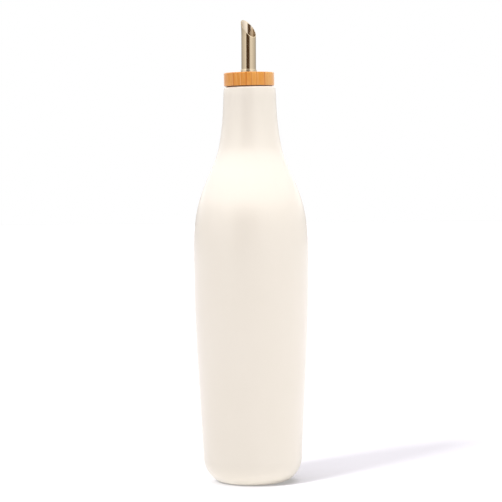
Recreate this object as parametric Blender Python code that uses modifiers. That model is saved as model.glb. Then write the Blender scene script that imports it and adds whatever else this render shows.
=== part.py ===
"""Ceramic oil dispenser: a turned, glazed bottle closed by a stopper.

The stopper is a wooden cap on a rubber plug, with a steel pour tube through both and a small collar at the tube's
foot. Metres, +Z up, standing at the origin.
"""

import math

import bpy
from mathutils import Vector
from mathutils.geometry import interpolate_bezier

# Shared by all pieces
TOUCH_GAP = 0.0003
SHARP_ANGLE = math.radians(35)
MERGE_DISTANCE = 0.00001

# Bottle: foot and base
RECESS_RADIUS = 0.0130
RECESS_DEPTH = 0.0010
RECESS_SLOPE_WIDTH = 0.0008
BASE_RADIUS = 0.0325
BASE_CORNER_WIDTH = 0.0150
BASE_CORNER_HEIGHT = 0.0175

# Bottle: the side's stations, each a height, a radius and a slope (radius gained for each metre of height)
BASE_STATION = (BASE_CORNER_HEIGHT, BASE_RADIUS, 0.045)
BELLY_STATION = (0.1370, 0.0375, 0.0)
SHOULDER_STATION = (0.1790, 0.0350, -0.21)
STEEPEST_STATION = (0.1970, 0.0291, -0.40)
NECK_FOOT_STATION = (0.2200, 0.0204, -0.19)
NECK_STATION = (0.2530, 0.01722, -0.02)

# Bottle: mouth, whose rim is slightly lower towards -X
BOTTLE_HEIGHT = 0.2589
RIM_RADIUS = 0.01685
RIM_SLOPE = -0.10
RIM_TILT = math.radians(0.9)
RIM_TILT_DEPTH = 0.0100
LIP_OUTER_ROUND = 0.0013
LIP_INNER_ROUND = 0.0008
SOCKET_RADIUS = 0.0139
SOCKET_DEPTH = 0.0150

# Stopper, a little off the bottle's axis and with its top leaning towards -X. A thin flange at the plug's top
# shows between the cap and the lip.
STOPPER_SHIFT = -0.0003
STOPPER_LEAN = math.radians(0.6)
PLUG_RADIUS = 0.0132
PLUG_EDGE_ROUND = 0.0008
PLUG_FOOT = -0.0140
FLANGE_RADIUS = 0.0147
FLANGE_FOOT = 0.0002
FLANGE_THICKNESS = 0.0002
CAP_FOOT = 0.0006
CAP_RADIUS = 0.01646
CAP_THICKNESS = 0.0087
CAP_EDGE_ROUND = 0.0007

# Pour tube, which stands straighter than the cap and widens a little towards its tip. Its top is cut by a
# plane that falls towards +X and -Y. Heights of the flare are above the middle of that cut.
TUBE_LEAN = math.radians(-0.9)
SPOUT_SHIFT = -0.0001
TUBE_RADIUS = 0.00480
TUBE_FLARE = 0.00035
TUBE_FLARE_FOOT = -0.0045
TUBE_FLARE_TOP = 0.0050
TUBE_WALL = 0.0004
TUBE_HOLE_GAP = 0.0004
TUBE_ABOVE_CAP = 0.0284
TUBE_ABOVE_PLUG_FOOT = 0.0005
CUT_STEEPNESS = math.radians(49.4)
CUT_HEADING = math.radians(-46.4)
COLLAR_HOLE_GAP = 0.0001
COLLAR_HEIGHT = 0.0019
COLLAR_TOP_RADIUS = 0.00506
COLLAR_FOOT_RADIUS = 0.00524
COLLAR_EDGE_ROUND = 0.00008

# Facets: steps of the turned shapes and of the curves in their profiles
BOTTLE_SEGMENTS = 64
CAP_SEGMENTS = 48
TUBE_SEGMENTS = 32
SIDE_STEPS = 6
CORNER_STEPS = 6
EDGE_STEPS = 3
FLARE_STEPS = 5

# Heights above the bottle's lip, which carries the stopper, and the holes that the tube passes through
CAP_TOP = CAP_FOOT + CAP_THICKNESS
COLLAR_FOOT = CAP_TOP + TOUCH_GAP
TUBE_FOOT = PLUG_FOOT + TUBE_ABOVE_PLUG_FOOT
CUT_HEIGHT = CAP_TOP + TUBE_ABOVE_CAP
CAP_HOLE_RADIUS = TUBE_RADIUS + TUBE_HOLE_GAP
PLUG_HOLE_RADIUS = TUBE_RADIUS + 2 * TUBE_HOLE_GAP
COLLAR_HOLE_RADIUS = TUBE_RADIUS + COLLAR_HOLE_GAP


def clear_scene():
    for obj in list(bpy.data.objects):
        bpy.data.objects.remove(obj, do_unlink=True)


def new_collection(name):
    collection = bpy.data.collections.new(name)
    bpy.context.scene.collection.children.link(collection)
    return collection


def linear(red, green, blue):
    """A screen colour, 0 to 255 a channel, as the linear colour that a shader takes."""
    channels = [channel / 255 for channel in (red, green, blue)]
    return tuple(c / 12.92 if c <= 0.04045 else ((c + 0.055) / 1.055) ** 2.4 for c in channels) + (1.0,)


def principled(name, colour, roughness, metallic=0.0, coat=0.0):
    material = bpy.data.materials.new(name)
    material.use_nodes = True
    shader = material.node_tree.nodes["Principled BSDF"]
    shader.inputs["Base Color"].default_value = colour
    shader.inputs["Roughness"].default_value = roughness
    shader.inputs["Metallic"].default_value = metallic
    shader.inputs["Coat Weight"].default_value = coat
    material.diffuse_color = colour
    return material


def point(radius, height):
    return Vector((radius, 0.0, height))


def arc(centre, width, height, start_deg, end_deg, steps):
    """Points on an ellipse about centre, from start to end, counted from +X towards +Z."""
    angles = [math.radians(start_deg + (end_deg - start_deg) * i / steps) for i in range(steps + 1)]
    return [centre + point(width * math.cos(a), height * math.sin(a)) for a in angles]


def smooth_side(stations, steps):
    """Points of one smooth curve up through stations of height, radius and slope."""
    points = []
    for (low_z, low_r, low_slope), (high_z, high_r, high_slope) in zip(stations, stations[1:]):
        third = (high_z - low_z) / 3
        low, high = point(low_r, low_z), point(high_r, high_z)
        handle_low = low + point(low_slope, 1.0) * third
        handle_high = high - point(high_slope, 1.0) * third
        points += interpolate_bezier(low, handle_low, handle_high, high, steps + 1)[:-1]
    return points + [high]


def settle(obj):
    """Turns the object's modifiers into its mesh, and shades it smooth except at its sharp edges."""
    graph = bpy.context.evaluated_depsgraph_get()
    mesh = bpy.data.meshes.new_from_object(obj.evaluated_get(graph))
    mesh.name = obj.name
    mesh.shade_smooth()
    mesh.set_sharp_from_angle(angle=SHARP_ANGLE)
    obj.modifiers.clear()
    obj.data = mesh


def turned(name, profile, closed, segments, material, collection):
    """A profile turned about Z, which runs from the top down its outer side. A closed one rings a hole."""
    count = len(profile)
    edges = [(i, i + 1) for i in range(count - 1)] + ([(count - 1, 0)] if closed else [])
    mesh = bpy.data.meshes.new(name)
    mesh.from_pydata(profile, edges, [])
    mesh.materials.append(material)
    obj = bpy.data.objects.new(name, mesh)
    collection.objects.link(obj)
    screw = obj.modifiers.new("turn", "SCREW")
    screw.axis = "Z"
    screw.steps = screw.render_steps = segments
    screw.use_merge_vertices = True
    screw.merge_threshold = MERGE_DISTANCE
    return obj


def ring_profile(inner, foot_radius, top_radius, height, edge_round):
    """A ring's section, standing on z = 0, with rounded outer edges."""
    top = arc(point(top_radius - edge_round, height - edge_round), edge_round, edge_round, 90, 0, EDGE_STEPS)
    foot = arc(point(foot_radius - edge_round, edge_round), edge_round, edge_round, 0, -90, EDGE_STEPS)
    return [point(inner, height)] + top + foot + [point(inner, 0.0)]


def bottle(collection):
    glaze = principled("cream glaze", linear(240, 231, 217), 0.3, coat=0.3)
    lip_outer = point(RIM_RADIUS - LIP_OUTER_ROUND, BOTTLE_HEIGHT - LIP_OUTER_ROUND)
    lip_inner = point(SOCKET_RADIUS + LIP_INNER_ROUND, BOTTLE_HEIGHT - LIP_INNER_ROUND)
    stations = [
        BASE_STATION,
        BELLY_STATION,
        SHOULDER_STATION,
        STEEPEST_STATION,
        NECK_FOOT_STATION,
        NECK_STATION,
        (BOTTLE_HEIGHT - LIP_OUTER_ROUND, RIM_RADIUS, RIM_SLOPE),
    ]
    side = smooth_side(stations, SIDE_STEPS)
    corner_centre = point(BASE_RADIUS - BASE_CORNER_WIDTH, BASE_CORNER_HEIGHT)
    corner = arc(corner_centre, BASE_CORNER_WIDTH, BASE_CORNER_HEIGHT, 0, -90, CORNER_STEPS)
    socket_floor = BOTTLE_HEIGHT - SOCKET_DEPTH
    profile = [point(0.0, socket_floor), point(SOCKET_RADIUS, socket_floor)]
    profile += arc(lip_inner, LIP_INNER_ROUND, LIP_INNER_ROUND, 180, 90, EDGE_STEPS)
    profile += arc(lip_outer, LIP_OUTER_ROUND, LIP_OUTER_ROUND, 90, 0, CORNER_STEPS)
    profile += side[-2:0:-1]
    profile += corner
    profile += [
        point(RECESS_RADIUS, 0.0),
        point(RECESS_RADIUS - RECESS_SLOPE_WIDTH, RECESS_DEPTH),
        point(0.0, RECESS_DEPTH),
    ]
    obj = turned("ceramic_bottle", profile, False, BOTTLE_SEGMENTS, glaze, collection)
    settle(obj)
    tilt_rim(obj.data)


def tilt_rim(mesh):
    """Tilts the bottle's rim towards -X, by a share that fades to nothing at RIM_TILT_DEPTH below it."""
    for vertex in mesh.vertices:
        share = min(1.0, max(0.0, 1.0 - (BOTTLE_HEIGHT - vertex.co.z) / RIM_TILT_DEPTH))
        vertex.co.z += vertex.co.x * math.tan(RIM_TILT) * share


def stopper_seat(collection):
    """An empty above the bottle's lip, which carries the whole stopper and gives it its lean."""
    seat = bpy.data.objects.new("stopper_seat", None)
    seat.location = (STOPPER_SHIFT, 0.0, BOTTLE_HEIGHT)
    seat.rotation_euler = (0.0, -STOPPER_LEAN, 0.0)
    collection.objects.link(seat)
    return seat


def spout_seat(stopper, collection):
    """An empty in the middle of the cap's top, which carries the tube and collar at their own lean."""
    seat = bpy.data.objects.new("spout_seat", None)
    place(seat, stopper, CAP_TOP)
    seat.location.x = SPOUT_SHIFT
    seat.rotation_euler = (0.0, -TUBE_LEAN, 0.0)
    collection.objects.link(seat)
    return seat


def place(obj, seat, height):
    obj.parent = seat
    obj.location = (0.0, 0.0, height)


def plug(seat, collection):
    """The rubber plug: a stem in the socket and the flange above it."""
    rubber = principled("dark rubber", linear(58, 40, 28), 0.7)
    flange_top = FLANGE_FOOT + FLANGE_THICKNESS
    foot_centre = point(PLUG_RADIUS - PLUG_EDGE_ROUND, PLUG_EDGE_ROUND)
    foot = arc(foot_centre, PLUG_EDGE_ROUND, PLUG_EDGE_ROUND, 0, -90, EDGE_STEPS)
    profile = [
        point(PLUG_HOLE_RADIUS, flange_top - PLUG_FOOT),
        point(FLANGE_RADIUS, flange_top - PLUG_FOOT),
        point(FLANGE_RADIUS, FLANGE_FOOT - PLUG_FOOT),
        point(PLUG_RADIUS, FLANGE_FOOT - PLUG_FOOT),
    ]
    profile += foot + [point(PLUG_HOLE_RADIUS, 0.0)]
    obj = turned("stopper_plug", profile, True, CAP_SEGMENTS, rubber, collection)
    place(obj, seat, PLUG_FOOT)
    settle(obj)


def cap(seat, collection):
    wood = principled("pale wood", linear(222, 155, 80), 0.5)
    profile = ring_profile(CAP_HOLE_RADIUS, CAP_RADIUS, CAP_RADIUS, CAP_THICKNESS, CAP_EDGE_ROUND)
    obj = turned("wooden_cap", profile, True, CAP_SEGMENTS, wood, collection)
    place(obj, seat, CAP_FOOT)
    settle(obj)


def collar(seat, steel, collection):
    profile = ring_profile(
        COLLAR_HOLE_RADIUS, COLLAR_FOOT_RADIUS, COLLAR_TOP_RADIUS, COLLAR_HEIGHT, COLLAR_EDGE_ROUND
    )
    obj = turned("spout_collar", profile, True, TUBE_SEGMENTS, steel, collection)
    place(obj, seat, COLLAR_FOOT - CAP_TOP)
    settle(obj)


def slant_cutter(seat, collection):
    """A block whose underside is the plane that cuts the pour tube."""
    size = 8 * TUBE_RADIUS
    bpy.ops.mesh.primitive_cube_add(size=size)
    cutter = bpy.context.object
    cutter.name = "slant_cutter"
    for owner in list(cutter.users_collection):
        owner.objects.unlink(cutter)
    collection.objects.link(cutter)
    cutter.data.transform(cutter.matrix_world.Translation(Vector((0.0, 0.0, size / 2))))
    place(cutter, seat, CUT_HEIGHT - CAP_TOP)
    cutter.rotation_euler = (0.0, CUT_STEEPNESS, CUT_HEADING)
    cutter.hide_render = True
    cutter.display_type = "WIRE"
    return cutter


def flared(radius, height):
    """A point of the tube at a height above the cut's middle, radius being that below the flare."""
    share = (height - TUBE_FLARE_FOOT) / (TUBE_FLARE_TOP - TUBE_FLARE_FOOT)
    return point(radius + TUBE_FLARE * max(0.0, share) ** 2, height)


def spout(seat, steel, collection, cutters):
    """The pour tube, open from its foot in the plug to its slanted mouth."""
    middle = CUT_HEIGHT - TUBE_FOOT
    highest = 1.5 * TUBE_RADIUS * math.tan(CUT_STEEPNESS)
    rise = (highest - TUBE_FLARE_FOOT) / FLARE_STEPS
    heights = [TUBE_FLARE_FOOT + rise * step for step in range(FLARE_STEPS + 1)]
    inner, outer = TUBE_RADIUS - TUBE_WALL, TUBE_RADIUS
    profile = [flared(inner, height) for height in heights]
    profile += [flared(outer, height) for height in reversed(heights)]
    profile += [point(outer, -middle), point(inner, -middle)]
    profile = [corner + point(0.0, middle) for corner in profile]
    obj = turned("spout_tube", profile, True, TUBE_SEGMENTS, steel, collection)
    place(obj, seat, TUBE_FOOT - CAP_TOP)
    cut = obj.modifiers.new("slanted mouth", "BOOLEAN")
    cut.operation = "DIFFERENCE"
    cut.object = slant_cutter(seat, cutters)
    settle(obj)


def main():
    clear_scene()
    parts = new_collection("ceramic oil dispenser")
    cutters = new_collection("cutters")
    steel = principled("polished steel", linear(200, 186, 160), 0.18, metallic=1.0)
    bottle(parts)
    seat = stopper_seat(parts)
    plug(seat, parts)
    cap(seat, parts)
    spout_base = spout_seat(seat, parts)
    collar(spout_base, steel, parts)
    spout(spout_base, steel, parts, cutters)


main()
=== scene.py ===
"""The looks of the ceramic oil dispenser: glazed bottle, bamboo cap and steel pour tube, in a bright studio.

Each piece but the plug is built anew, smoother than its solid, and takes that solid's place.
"""

import math

import bpy
from mathutils import Matrix, Vector
from mathutils.geometry import interpolate_bezier


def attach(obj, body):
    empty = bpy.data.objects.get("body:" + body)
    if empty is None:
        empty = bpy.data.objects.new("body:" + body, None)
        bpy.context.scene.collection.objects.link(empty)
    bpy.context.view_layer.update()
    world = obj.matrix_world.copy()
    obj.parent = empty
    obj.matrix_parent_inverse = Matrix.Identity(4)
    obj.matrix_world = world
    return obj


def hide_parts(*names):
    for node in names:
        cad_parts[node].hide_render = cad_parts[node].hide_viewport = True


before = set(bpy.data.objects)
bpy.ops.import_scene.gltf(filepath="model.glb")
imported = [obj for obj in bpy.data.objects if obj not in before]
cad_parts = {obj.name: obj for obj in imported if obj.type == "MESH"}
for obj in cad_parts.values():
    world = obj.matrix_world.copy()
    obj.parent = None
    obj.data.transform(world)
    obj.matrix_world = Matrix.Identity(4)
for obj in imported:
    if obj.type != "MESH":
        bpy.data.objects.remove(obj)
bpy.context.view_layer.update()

# Camera, in metres and degrees
CAMERA_DISTANCE = 1.3696
CAMERA_HEIGHT = 0.2077
CAMERA_PITCH_DOWN = 2.343
CAMERA_ROLL = -0.49
CAMERA_LENS_MM = 150
CAMERA_SENSOR_MM = 36
CAMERA_NEAREST = 0.05
CAMERA_FARTHEST = 50

# Bottle: foot and base
RECESS_RADIUS = 0.0130
RECESS_DEPTH = 0.0010
RECESS_SLOPE_WIDTH = 0.0008
BARE_CLAY_HEIGHT = 0.0004
BASE_RADIUS = 0.0325
BASE_CORNER_WIDTH = 0.0150
BASE_CORNER_HEIGHT = 0.0175

# Bottle: the side's stations, each a height, a radius and a slope (radius gained for each metre of height)
BASE_STATION = (BASE_CORNER_HEIGHT, BASE_RADIUS, 0.045)
BELLY_STATION = (0.1370, 0.0375, 0.0)
SHOULDER_STATION = (0.1790, 0.0350, -0.21)
STEEPEST_STATION = (0.1970, 0.0291, -0.40)
NECK_FOOT_STATION = (0.2200, 0.0204, -0.19)
NECK_STATION = (0.2530, 0.01722, -0.02)

# Bottle: mouth, whose rim is slightly lower towards -X
BOTTLE_HEIGHT = 0.2589
RIM_RADIUS = 0.01685
RIM_SLOPE = -0.10
RIM_TILT = math.radians(0.9)
RIM_TILT_DEPTH = 0.0100
LIP_OUTER_ROUND = 0.0013
LIP_INNER_ROUND = 0.0008
SOCKET_RADIUS = 0.0139
SOCKET_DEPTH = 0.0150

# Stopper, a little off the bottle's axis and with its top leaning towards -X
STOPPER_SHIFT = -0.0003
STOPPER_LEAN = math.radians(0.6)
PLUG_FOOT = -0.0140
CAP_FOOT = 0.0006
CAP_RADIUS = 0.01646
CAP_THICKNESS = 0.0087
CAP_EDGE_ROUND = 0.0007
CAP_TOP = CAP_FOOT + CAP_THICKNESS

# Places along X of the darker glue lines between the cap's strips, with their half width and strength
GLUE_LINES = (
    (-0.0101, 0.0004, 0.7),
    (-0.0052, 0.0003, 0.4),
    (-0.0018, 0.0004, 0.8),
    (0.0017, 0.0003, 0.6),
    (0.0048, 0.0003, 0.4),
    (0.0103, 0.0006, 0.6),
)
# Screen colours of the strips, from -X to +X
STRIP_TONES = (
    (222, 153, 66),
    (221, 146, 50),
    (221, 143, 47),
    (226, 150, 54),
    (231, 159, 63),
    (226, 152, 57),
    (227, 167, 85),
)

# Pour tube, which stands straighter than the cap and widens a little towards its tip. Its top is cut by a
# plane that falls towards +X and -Y. Heights of the flare and of the loops are above the middle of that cut.
TUBE_LEAN = math.radians(-0.9)
SPOUT_SHIFT = -0.0001
TUBE_RADIUS = 0.00480
TUBE_FLARE = 0.00035
TUBE_FLARE_FOOT = -0.0045
TUBE_FLARE_TOP = 0.0050
TUBE_WALL = 0.0004
TUBE_EDGE_ROUND = 0.00004
TUBE_EDGE_LOOP = 0.00015
TUBE_HOLE_GAP = 0.0004
TUBE_HOLE_RADIUS = TUBE_RADIUS + TUBE_HOLE_GAP
TUBE_ABOVE_CAP = 0.0284
TUBE_ABOVE_PLUG_FOOT = 0.0005
TUBE_FOOT = PLUG_FOOT + TUBE_ABOVE_PLUG_FOOT
LOOPS_FOOT = -2 * TUBE_ABOVE_CAP / 3
CUT_STEEPNESS = math.radians(49.4)
CUT_HEADING = math.radians(-46.4)
CUT_HEIGHT = CAP_TOP + TUBE_ABOVE_CAP

# Collar at the tube's foot
COLLAR_FOOT_GAP = 0.0003
COLLAR_FOOT = CAP_TOP + COLLAR_FOOT_GAP
COLLAR_HEIGHT = 0.0019
COLLAR_HOLE_GAP = 0.0001
COLLAR_HOLE_RADIUS = TUBE_RADIUS + COLLAR_HOLE_GAP
COLLAR_TOP_RADIUS = 0.00506
COLLAR_FOOT_RADIUS = 0.00524
COLLAR_EDGE_ROUND = 0.00008

# Room: its brightness at heights from the horizon, 0, to straight up, 1. The first is the light that surfaces
# get. The next are what gloss reflects: all round, and added at the back and at the sides. The last is what
# the camera sees.
ROOM_LIGHT = ((0.0, 0.80), (0.5, 0.10), (1.0, 0.68))
ROOM_GLOSS = ((0.0, 0.82), (0.2, 1.25), (0.4, 1.98), (0.6, 2.7), (0.74, 2.8), (0.88, 1.0), (1.0, 2.5))
BACK_GLOSS = ((0.0, 0.0), (0.07, 0.0), (0.15, 0.9), (0.30, 0.0))
SIDE_GLOSS = ((0.0, 0.0), (0.25, 0.0), (0.45, 0.8), (0.70, 0.0))
ROOM_SEEN = 1.0

# The share by which the room is brighter to the right and to the back. For gloss, two heights come first and
# then the share at each, and the light at the back is added between two steps towards +Y.
LIGHT_LEAN_RIGHT = 0.27
LIGHT_LEAN_BACK = 0.24
GLOSS_LEAN_RIGHT = (0.05, 0.35, 0.03, -0.21)
GLOSS_LEAN_BACK = (0.35, 0.65, -0.42, -0.60)
BACK_GLOSS_REACH = (0.3, 0.8)

# A dark blind that the steel reflects: the azimuths of its left and right edge in degrees from the front, how
# soft each edge is in radians, and the heights between which it fades
BLIND_EDGES = (-37.8, 6)
BLIND_LEFT_SOFTNESS = 0.03
BLIND_RIGHT_SOFTNESS = 0.4
BLIND_FADE = (0.5, 0.25)
BLIND_COLOUR = (0.085, 0.05, 0.025, 1.0)

# Lamps, in degrees, and the floor
OVERHEAD_ELEVATION = 90
OVERHEAD_AZIMUTH = 0
OVERHEAD_WIDTH = 60
OVERHEAD_STRENGTH = 1.24
OVERHEAD_COLOUR = (0.96, 0.92, 1.0)
KEY_ELEVATION = 38
KEY_AZIMUTH = 40
KEY_WIDTH = 16
KEY_STRENGTH = 1.9
KEY_COLOUR = (1.0, 1.0, 1.0)
FLOOR_SIZE = 12
FLOOR_COLOUR = (0.375, 0.368, 0.378, 1.0)
FLOOR_GLOW = 0.29

# Smoothness of the shapes, and the rounds that find a height of the cut. Edges sharper than the angle stay
# sharp, and points within the distance are one.
BOTTLE_SEGMENTS = 192
CAP_SEGMENTS = 160
TUBE_SEGMENTS = 96
SIDE_STEPS = 22
CORNER_STEPS = 16
EDGE_STEPS = 8
CUT_ROUNDS = 6
SHARP_ANGLE = math.radians(35)
MERGE_DISTANCE = 0.00001


def linear(red, green, blue):
    """A screen colour, 0 to 255 a channel, as the linear colour that a shader takes."""
    channels = [channel / 255 for channel in (red, green, blue)]
    return tuple(c / 12.92 if c <= 0.04045 else ((c + 0.055) / 1.055) ** 2.4 for c in channels) + (1.0,)


class Nodes:
    """A node tree under construction, with short calls that add nodes to it."""

    def __init__(self, tree):
        self.tree = tree

    def add(self, kind, **settings):
        node = self.tree.nodes.new(kind)
        for key, value in settings.items():
            setattr(node, key, value)
        return node

    def join(self, value, socket):
        """Sets a socket to a number or colour, or links another node's output to it."""
        if isinstance(value, bpy.types.NodeSocket):
            self.tree.links.new(value, socket)
        else:
            socket.default_value = value

    def noise(self, vector, scale, detail, roughness=0.5):
        node = self.add("ShaderNodeTexNoise")
        self.join(vector, node.inputs["Vector"])
        node.inputs["Scale"].default_value = scale
        node.inputs["Detail"].default_value = detail
        node.inputs["Roughness"].default_value = roughness
        return node.outputs["Fac"]

    def range(self, value, from_low, from_high, to_low=0.0, to_high=1.0, smooth=False):
        node = self.add("ShaderNodeMapRange")
        node.interpolation_type = "SMOOTHSTEP" if smooth else "LINEAR"
        for number, key in (
            (value, "Value"),
            (from_low, "From Min"),
            (from_high, "From Max"),
            (to_low, "To Min"),
            (to_high, "To Max"),
        ):
            self.join(number, node.inputs[key])
        return node.outputs["Result"]

    def math(self, operation, first, second=0.0):
        node = self.add("ShaderNodeMath", operation=operation)
        self.join(first, node.inputs[0])
        self.join(second, node.inputs[1])
        return node.outputs[0]

    def mix(self, factor, first, second):
        """A colour between two."""
        node = self.add("ShaderNodeMix", data_type="RGBA")
        self.join(factor, node.inputs[0])
        self.join(first, node.inputs[6])
        self.join(second, node.inputs[7])
        return node.outputs[2]

    def split(self, vector):
        node = self.add("ShaderNodeSeparateXYZ")
        self.join(vector, node.inputs[0])
        return node.outputs

    def blend(self, factor, first, second):
        """A number between two."""
        node = self.add("ShaderNodeMix", data_type="FLOAT")
        self.join(factor, node.inputs[0])
        self.join(first, node.inputs[2])
        self.join(second, node.inputs[3])
        return node.outputs[0]

    def profile(self, value, levels):
        """A number that runs smoothly through levels, each a value from 0 to 1 and the number there."""
        top = max(level for place, level in levels)
        node = self.add("ShaderNodeValToRGB")
        node.color_ramp.interpolation = "EASE"
        stops = node.color_ramp.elements
        while len(stops) < len(levels):
            stops.new(1.0)
        for stop, (place, level) in zip(stops, levels):
            stop.position = place
            stop.color = (level / top, level / top, level / top, 1.0)
        self.join(value, node.inputs[0])
        return self.math("MULTIPLY", node.outputs["Color"], top)


class Shader(Nodes):
    """A material under construction: its Principled shader, and the piece's own coordinates."""

    def __init__(self, name):
        self.material = bpy.data.materials.new(name)
        self.material.use_nodes = True
        super().__init__(self.material.node_tree)
        self.surface = self.tree.nodes["Principled BSDF"]
        self.place = self.add("ShaderNodeTexCoord").outputs["Object"]

    def set(self, **values):
        """Sets the shader's own sockets, named with _ for a space."""
        for key, value in values.items():
            self.join(value, self.surface.inputs[key.replace("_", " ")])

    def stretched(self, scale):
        """The piece's own coordinates, scaled along each axis."""
        node = self.add("ShaderNodeMapping")
        self.join(self.place, node.inputs["Vector"])
        node.inputs["Scale"].default_value = scale
        return node.outputs["Vector"]

    def bump(self, height, distance, strength, under=None):
        node = self.add("ShaderNodeBump")
        self.join(height, node.inputs["Height"])
        node.inputs["Distance"].default_value = distance
        node.inputs["Strength"].default_value = strength
        if under is not None:
            self.join(under, node.inputs["Normal"])
        self.join(node.outputs["Normal"], self.surface.inputs["Normal"])
        return node.outputs["Normal"]


def glaze_material():
    """Satin cream glaze, bare and rough on the ring that the bottle stands on."""
    s = Shader("cream glaze")
    height = s.split(s.place)[2]
    cloud = s.noise(s.place, 22, detail=2)
    glaze = s.mix(s.range(cloud, 0.3, 0.7), linear(240, 233, 216), linear(242, 235, 219))
    bare = s.math("LESS_THAN", height, BARE_CLAY_HEIGHT)
    grain = s.noise(s.place, 2600, detail=4, roughness=0.7)
    clay = s.mix(grain, linear(196, 180, 158), linear(222, 208, 188))
    s.set(Base_Color=s.mix(bare, glaze, clay))
    satin = s.range(s.noise(s.place, 60, detail=3), 0.3, 0.7, 0.30, 0.36)
    s.set(Roughness=s.math("MAXIMUM", satin, s.math("MULTIPLY", bare, 0.9)))
    s.set(IOR=1.5, Coat_Weight=0.35, Coat_Roughness=0.2, Coat_IOR=1.5)
    peel = s.bump(s.noise(s.place, 240, detail=2), 0.00006, 0.35)
    rings = s.noise(s.stretched((0.0, 0.0, 1.0)), 160, detail=2)
    s.bump(rings, 0.0001, 0.12, under=peel)
    return s.material


def bamboo_material():
    """Laminated bamboo strips, their upright fibres showing as lines on the side and dots on the top."""
    s = Shader("bamboo")
    wander = s.math("MULTIPLY", s.math("SUBTRACT", s.noise(s.place, 90, detail=1), 0.5), 0.0008)
    across = s.math("ADD", s.split(s.place)[0], wander)
    strip = linear(*STRIP_TONES[0])
    for line, colour in zip(GLUE_LINES, STRIP_TONES[1:]):
        strip = s.mix(s.math("GREATER_THAN", across, line[0]), strip, linear(*colour))
    broad = s.noise(s.stretched((1.0, 1.0, 0.04)), 420, detail=2)
    tone = s.mix(s.range(broad, 0.35, 0.65), s.mix(0.25, strip, linear(196, 116, 38)), strip)
    fibres = s.noise(s.stretched((1.0, 1.0, 0.03)), 1500, detail=3, roughness=0.65)
    tone = s.mix(s.range(fibres, 0.46, 0.72, 0.0, 0.8), tone, linear(242, 184, 112))
    tone = s.mix(s.range(fibres, 0.40, 0.26, 0.0, 0.6), tone, linear(190, 104, 34))
    for place, width, depth in GLUE_LINES:
        away = s.math("ABSOLUTE", s.math("SUBTRACT", across, place))
        tone = s.mix(s.range(away, width, width * 0.3, 0.0, depth), tone, linear(190, 100, 30))
    s.set(Base_Color=tone, Roughness=s.range(fibres, 0.3, 0.7, 0.5, 0.38), IOR=1.45)
    s.set(Sheen_Weight=0.5, Sheen_Roughness=0.3)
    s.bump(fibres, 0.00012, 0.5)
    return s.material


def steel_material(name, dull, bright):
    """Polished steel with a faint lengthwise drawing grain, its colour running between two tones."""
    s = Shader(name)
    drawn = s.noise(s.stretched((1.0, 1.0, 0.004)), 2400, detail=3, roughness=0.6)
    s.set(Base_Color=s.mix(s.range(drawn, 0.3, 0.7), dull, bright))
    s.set(Metallic=1.0, Roughness=s.range(drawn, 0.3, 0.7, 0.08, 0.13))
    s.bump(drawn, 0.00001, 0.1)
    return s.material


def satin_steel_material(name, colour, roughness):
    """Steel that is ground or brushed to a soft shine."""
    s = Shader(name)
    s.set(Base_Color=colour, Metallic=1.0, Roughness=roughness)
    return s.material


def gap_shade_rubber_material():
    # Rubber of the real plug, coloured a dark wood brown that stands in for the shadow in the gap under the
    # cap: partly its own dark colour, partly painted shade.
    s = Shader("dark rubber")
    grain = s.noise(s.place, 1800, detail=3)
    s.set(Base_Color=s.mix(grain, linear(92, 56, 30), linear(116, 72, 40)), Roughness=0.7)
    s.bump(grain, 0.00005, 0.4)
    return s.material


def point(radius, height):
    return Vector((radius, 0.0, height))


def arc(centre, width, height, start_deg, end_deg, steps):
    """Points on an ellipse about centre, from start to end, counted from +X towards +Z."""
    angles = [math.radians(start_deg + (end_deg - start_deg) * i / steps) for i in range(steps + 1)]
    return [centre + point(width * math.cos(a), height * math.sin(a)) for a in angles]


def smooth_side(stations, steps):
    """Points of one smooth curve up through stations of height, radius and slope."""
    points = []
    for (low_z, low_r, low_slope), (high_z, high_r, high_slope) in zip(stations, stations[1:]):
        third = (high_z - low_z) / 3
        low, high = point(low_r, low_z), point(high_r, high_z)
        handle_low = low + point(low_slope, 1.0) * third
        handle_high = high - point(high_slope, 1.0) * third
        points += interpolate_bezier(low, handle_low, handle_high, high, steps + 1)[:-1]
    return points + [high]


def turned(name, profile, closed, segments, material):
    """A profile turned about Z, which runs from the top down its outer side. A closed one rings a hole."""
    count = len(profile)
    edges = [(i, i + 1) for i in range(count - 1)] + ([(count - 1, 0)] if closed else [])
    mesh = bpy.data.meshes.new(name)
    mesh.from_pydata(profile, edges, [])
    obj = bpy.data.objects.new(name, mesh)
    bpy.context.scene.collection.objects.link(obj)
    screw = obj.modifiers.new("turn", "SCREW")
    screw.axis = "Z"
    screw.steps = screw.render_steps = segments
    screw.use_merge_vertices = True
    screw.merge_threshold = MERGE_DISTANCE
    graph = bpy.context.evaluated_depsgraph_get()
    obj.data = bpy.data.meshes.new_from_object(obj.evaluated_get(graph))
    obj.modifiers.clear()
    finish_mesh(obj, material)
    return obj


def finish_mesh(obj, material):
    obj.data.materials.clear()
    obj.data.materials.append(material)
    obj.data.shade_smooth()
    obj.data.set_sharp_from_angle(angle=SHARP_ANGLE)


def ring_profile(inner, foot_radius, top_radius, height, edge_round):
    """A ring's section, standing on z = 0, with rounded outer edges."""
    top = arc(point(top_radius - edge_round, height - edge_round), edge_round, edge_round, 90, 0, EDGE_STEPS)
    foot = arc(point(foot_radius - edge_round, edge_round), edge_round, edge_round, 0, -90, EDGE_STEPS)
    return [point(inner, height)] + top + foot + [point(inner, 0.0)]


def on_stopper(height):
    """The place of a piece of the stopper, whose own origin is that far above the bottle's lip."""
    seat = Matrix.Translation((STOPPER_SHIFT, 0.0, BOTTLE_HEIGHT)) @ Matrix.Rotation(-STOPPER_LEAN, 4, "Y")
    return seat @ Matrix.Translation((0.0, 0.0, height))


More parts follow.
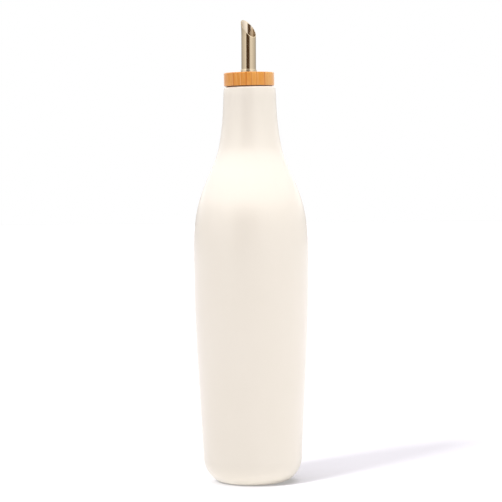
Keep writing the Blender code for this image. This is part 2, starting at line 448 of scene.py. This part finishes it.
def on_spout(height):
    """The place of a piece of the spout, which is turned about the middle of the cap's top."""
    turn = Matrix.Translation((SPOUT_SHIFT, 0.0, 0.0)) @ Matrix.Rotation(-TUBE_LEAN, 4, "Y")
    return on_stopper(CAP_TOP) @ turn @ Matrix.Translation((0.0, 0.0, height - CAP_TOP))


def adopt(obj, node):
    """The piece stands for a CAD node, whose solid it hides, and rides on the one body."""
    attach(obj, "root")
    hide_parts(node)


def make_bottle():
    lip_outer = point(RIM_RADIUS - LIP_OUTER_ROUND, BOTTLE_HEIGHT - LIP_OUTER_ROUND)
    lip_inner = point(SOCKET_RADIUS + LIP_INNER_ROUND, BOTTLE_HEIGHT - LIP_INNER_ROUND)
    stations = [
        BASE_STATION,
        BELLY_STATION,
        SHOULDER_STATION,
        STEEPEST_STATION,
        NECK_FOOT_STATION,
        NECK_STATION,
        (BOTTLE_HEIGHT - LIP_OUTER_ROUND, RIM_RADIUS, RIM_SLOPE),
    ]
    corner_centre = point(BASE_RADIUS - BASE_CORNER_WIDTH, BASE_CORNER_HEIGHT)
    socket_floor = BOTTLE_HEIGHT - SOCKET_DEPTH
    profile = [point(0.0, socket_floor), point(SOCKET_RADIUS, socket_floor)]
    profile += arc(lip_inner, LIP_INNER_ROUND, LIP_INNER_ROUND, 180, 90, EDGE_STEPS)
    profile += arc(lip_outer, LIP_OUTER_ROUND, LIP_OUTER_ROUND, 90, 0, CORNER_STEPS)
    profile += smooth_side(stations, SIDE_STEPS)[-2:0:-1]
    profile += arc(corner_centre, BASE_CORNER_WIDTH, BASE_CORNER_HEIGHT, 0, -90, CORNER_STEPS)
    profile += [
        point(RECESS_RADIUS, 0.0),
        point(RECESS_RADIUS - RECESS_SLOPE_WIDTH, RECESS_DEPTH),
        point(0.0, RECESS_DEPTH),
    ]
    bottle = turned("bottle", profile, False, BOTTLE_SEGMENTS, glaze_material())
    tilt_rim(bottle.data)
    adopt(bottle, "ceramic_bottle")


def tilt_rim(mesh):
    """Tilts the bottle's rim towards -X, by a share that fades to nothing at RIM_TILT_DEPTH below it."""
    for vertex in mesh.vertices:
        share = min(1.0, max(0.0, 1.0 - (BOTTLE_HEIGHT - vertex.co.z) / RIM_TILT_DEPTH))
        vertex.co.z += vertex.co.x * math.tan(RIM_TILT) * share


def make_cap():
    profile = ring_profile(TUBE_HOLE_RADIUS, CAP_RADIUS, CAP_RADIUS, CAP_THICKNESS, CAP_EDGE_ROUND)
    cap = turned("cap", profile, True, CAP_SEGMENTS, bamboo_material())
    cap.matrix_world = on_stopper(CAP_FOOT)
    adopt(cap, "wooden_cap")


def make_collar():
    profile = ring_profile(
        COLLAR_HOLE_RADIUS, COLLAR_FOOT_RADIUS, COLLAR_TOP_RADIUS, COLLAR_HEIGHT, COLLAR_EDGE_ROUND
    )
    satin = satin_steel_material("satin steel", linear(199, 184, 158), 0.25)
    collar = turned("collar", profile, True, TUBE_SEGMENTS, satin)
    collar.matrix_world = on_spout(COLLAR_FOOT)
    adopt(collar, "spout_collar")


def tube_radius(height):
    """The pour tube's outer radius at a height above the cut's middle."""
    share = (height - TUBE_FLARE_FOOT) / (TUBE_FLARE_TOP - TUBE_FLARE_FOOT)
    return TUBE_RADIUS + TUBE_FLARE * max(0.0, share) ** 2


def cut_height(inset, angle):
    """The height above the cut's middle where its plane meets the wall, that far inside the outer face.

    The radius there depends on the height, so each round starts from the height that the last one found.
    """
    height = 0.0
    for _ in range(CUT_ROUNDS):
        radius = tube_radius(height) - inset
        height = -radius * math.tan(CUT_STEEPNESS) * math.cos(angle - CUT_HEADING)
    return height


def wall_heights(inset, angle):
    """Points up one face of the wall, from LOOPS_FOOT to the cut, as insets and heights."""
    top = cut_height(inset, angle)
    rise = (top - TUBE_EDGE_LOOP - LOOPS_FOOT) / EDGE_STEPS
    heights = [LOOPS_FOOT + rise * step for step in range(EDGE_STEPS + 1)]
    return [(inset, height) for height in heights + [top - TUBE_EDGE_ROUND]]


def wall_section(angle):
    """Insets and heights up the wall's inner face, over the cut and down its outer face, at an angle.

    The second result is the step that crosses the cut.
    """
    foot = TUBE_FOOT - CUT_HEIGHT
    section = [(TUBE_WALL, foot), (TUBE_WALL, foot + TUBE_EDGE_LOOP)]
    section += wall_heights(TUBE_WALL, angle)
    cut_step = len(section)
    section += [(inset, cut_height(inset, angle)) for inset in (TUBE_WALL - TUBE_EDGE_ROUND, TUBE_EDGE_ROUND)]
    section += wall_heights(0.0, angle)[::-1]
    section += [(0.0, foot + TUBE_EDGE_LOOP), (0.0, foot)]
    return section, cut_step


def make_tube():
    """The pour tube: an open wall cut off by a slanted plane, one section of points for each segment."""
    points = []
    for i in range(TUBE_SEGMENTS):
        angle = 2 * math.pi * i / TUBE_SEGMENTS
        out = Vector((math.cos(angle), math.sin(angle), 0.0))
        section, cut_step = wall_section(angle)
        for inset, height in section:
            up = Vector((0.0, 0.0, height + CUT_HEIGHT - TUBE_FOOT))
            points.append(out * (tube_radius(height) - inset) + up)
    size = len(section)
    faces = []
    for i in range(TUBE_SEGMENTS):
        here, there = i * size, ((i + 1) % TUBE_SEGMENTS) * size
        for step in range(size):
            above = (step + 1) % size
            faces.append((here + step, here + above, there + above, there + step))
    mesh = bpy.data.meshes.new("spout")
    mesh.from_pydata(points, [], faces)
    tube = bpy.data.objects.new("spout", mesh)
    bpy.context.scene.collection.objects.link(tube)
    finish_mesh(tube, steel_material("polished steel", linear(200, 182, 154), linear(207, 189, 162)))
    # The bore wears a paler, pinker copy of the polished steel: painted reflection of the light inside the
    # mouth, not a different metal.
    mesh.materials.append(steel_material("bore steel tinted as painted reflection", linear(204, 190, 171), linear(209, 195, 177)))
    mesh.materials.append(satin_steel_material("ground steel", linear(166, 149, 122), 0.4))
    for i in range(TUBE_SEGMENTS):
        for step in range(cut_step):
            mesh.polygons[i * size + step].material_index = 1
        mesh.polygons[i * size + cut_step].material_index = 2
    tube.matrix_world = on_spout(TUBE_FOOT)
    adopt(tube, "spout_tube")


def dress_plug():
    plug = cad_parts["stopper_plug"]
    plug.data.materials.clear()
    # The plug's dark brown is painted shade for the gap under the cap.
    plug.data.materials.append(gap_shade_rubber_material())


def make_camera():
    data = bpy.data.cameras.new("camera")
    data.lens = CAMERA_LENS_MM
    data.sensor_width = CAMERA_SENSOR_MM
    data.clip_start = CAMERA_NEAREST
    data.clip_end = CAMERA_FARTHEST
    camera = bpy.data.objects.new("camera", data)
    bpy.context.scene.collection.objects.link(camera)
    aim = Matrix.Rotation(math.radians(90 - CAMERA_PITCH_DOWN), 4, "X")
    roll = Matrix.Rotation(math.radians(CAMERA_ROLL), 4, "Z")
    camera.matrix_world = Matrix.Translation((0.0, -CAMERA_DISTANCE, CAMERA_HEIGHT)) @ aim @ roll
    bpy.context.scene.camera = camera


def make_floor():
    """A white floor with a faint glow of its own, which keeps the shadow pale."""
    bpy.ops.mesh.primitive_plane_add(size=FLOOR_SIZE, location=(0.0, 0.0, 0.0))
    floor = bpy.context.object
    floor.name = "floor"
    s = Shader("white floor")
    s.set(Base_Color=FLOOR_COLOUR, Roughness=1.0, Specular_IOR_Level=0.0)
    s.set(Emission_Color=(1.0, 1.0, 1.0, 1.0), Emission_Strength=FLOOR_GLOW)
    floor.data.materials.append(s.material)
    return floor


def make_room():
    """The white room: one brightness for diffuse light, and another for gloss, with a dark blind in it."""
    world = bpy.data.worlds.new("studio")
    world.use_nodes = True
    bpy.context.scene.world = world
    n = Nodes(world.node_tree)
    direction = n.add("ShaderNodeTexCoord").outputs["Generated"]
    x, y, z = n.split(direction)

    def leaning(levels, to_right, to_back):
        side = n.math("ADD", n.math("MULTIPLY", x, to_right), n.math("MULTIPLY", y, to_back))
        return n.math("MULTIPLY", n.profile(z, levels), n.math("ADD", side, 1.0))

    def added(gloss, levels, share):
        return n.math("ADD", gloss, n.math("MULTIPLY", n.profile(z, levels), share))

    azimuth = n.math("ARCTAN2", x, n.math("MULTIPLY", y, -1.0))
    start, end = (math.radians(edge) for edge in BLIND_EDGES)
    left = n.range(azimuth, start, start + BLIND_LEFT_SOFTNESS)
    right = n.range(azimuth, end + BLIND_RIGHT_SOFTNESS, end, smooth=True)
    blind = n.math("MULTIPLY", n.math("MULTIPLY", left, right), n.range(z, *BLIND_FADE))
    gloss = leaning(ROOM_GLOSS, n.range(z, *GLOSS_LEAN_RIGHT), n.range(z, *GLOSS_LEAN_BACK))
    gloss = added(gloss, BACK_GLOSS, n.range(y, *BACK_GLOSS_REACH))
    gloss = added(gloss, SIDE_GLOSS, n.math("MULTIPLY", x, x))
    path = n.add("ShaderNodeLightPath").outputs
    light = leaning(ROOM_LIGHT, LIGHT_LEAN_RIGHT, LIGHT_LEAN_BACK)
    strength = n.blend(path["Is Glossy Ray"], light, gloss)
    strength = n.blend(path["Is Camera Ray"], strength, ROOM_SEEN)
    colour = n.mix(n.math("MULTIPLY", blind, path["Is Glossy Ray"]), (1.0, 1.0, 1.0, 1.0), BLIND_COLOUR)
    n.join(strength, n.tree.nodes["Background"].inputs["Strength"])
    n.join(colour, n.tree.nodes["Background"].inputs["Color"])


def make_lamp(name, elevation, azimuth, width, strength, colour):
    """A far lamp, at an azimuth from the front to the left. Strength 1 lights a white sheet to full white."""
    sun = bpy.data.lights.new(name, "SUN")
    sun.energy = math.pi * strength
    sun.color = colour
    sun.angle = math.radians(width)
    lamp = bpy.data.objects.new(name, sun)
    bpy.context.scene.collection.objects.link(lamp)
    up, across = math.radians(elevation), math.radians(azimuth)
    towards = Vector((-math.cos(up) * math.sin(across), -math.cos(up) * math.cos(across), math.sin(up)))
    lamp.matrix_world = towards.to_track_quat("Z", "Y").to_matrix().to_4x4()
    lamp.visible_glossy = False
    return lamp


def make_lamps(floor):
    """A wide lamp overhead, and one at the front left that lights the floor alone, for the shadow on it."""
    make_lamp(
        "overhead", OVERHEAD_ELEVATION, OVERHEAD_AZIMUTH, OVERHEAD_WIDTH, OVERHEAD_STRENGTH, OVERHEAD_COLOUR
    )
    key = make_lamp("key", KEY_ELEVATION, KEY_AZIMUTH, KEY_WIDTH, KEY_STRENGTH, KEY_COLOUR)
    lit = bpy.data.collections.new("lit_by_key")
    lit.objects.link(floor)
    key.light_linking.receiver_collection = lit


make_camera()
make_bottle()
make_cap()
make_collar()
make_tube()
dress_plug()
make_room()
make_lamps(make_floor())
bpy.context.scene.view_settings.view_transform = "Standard"
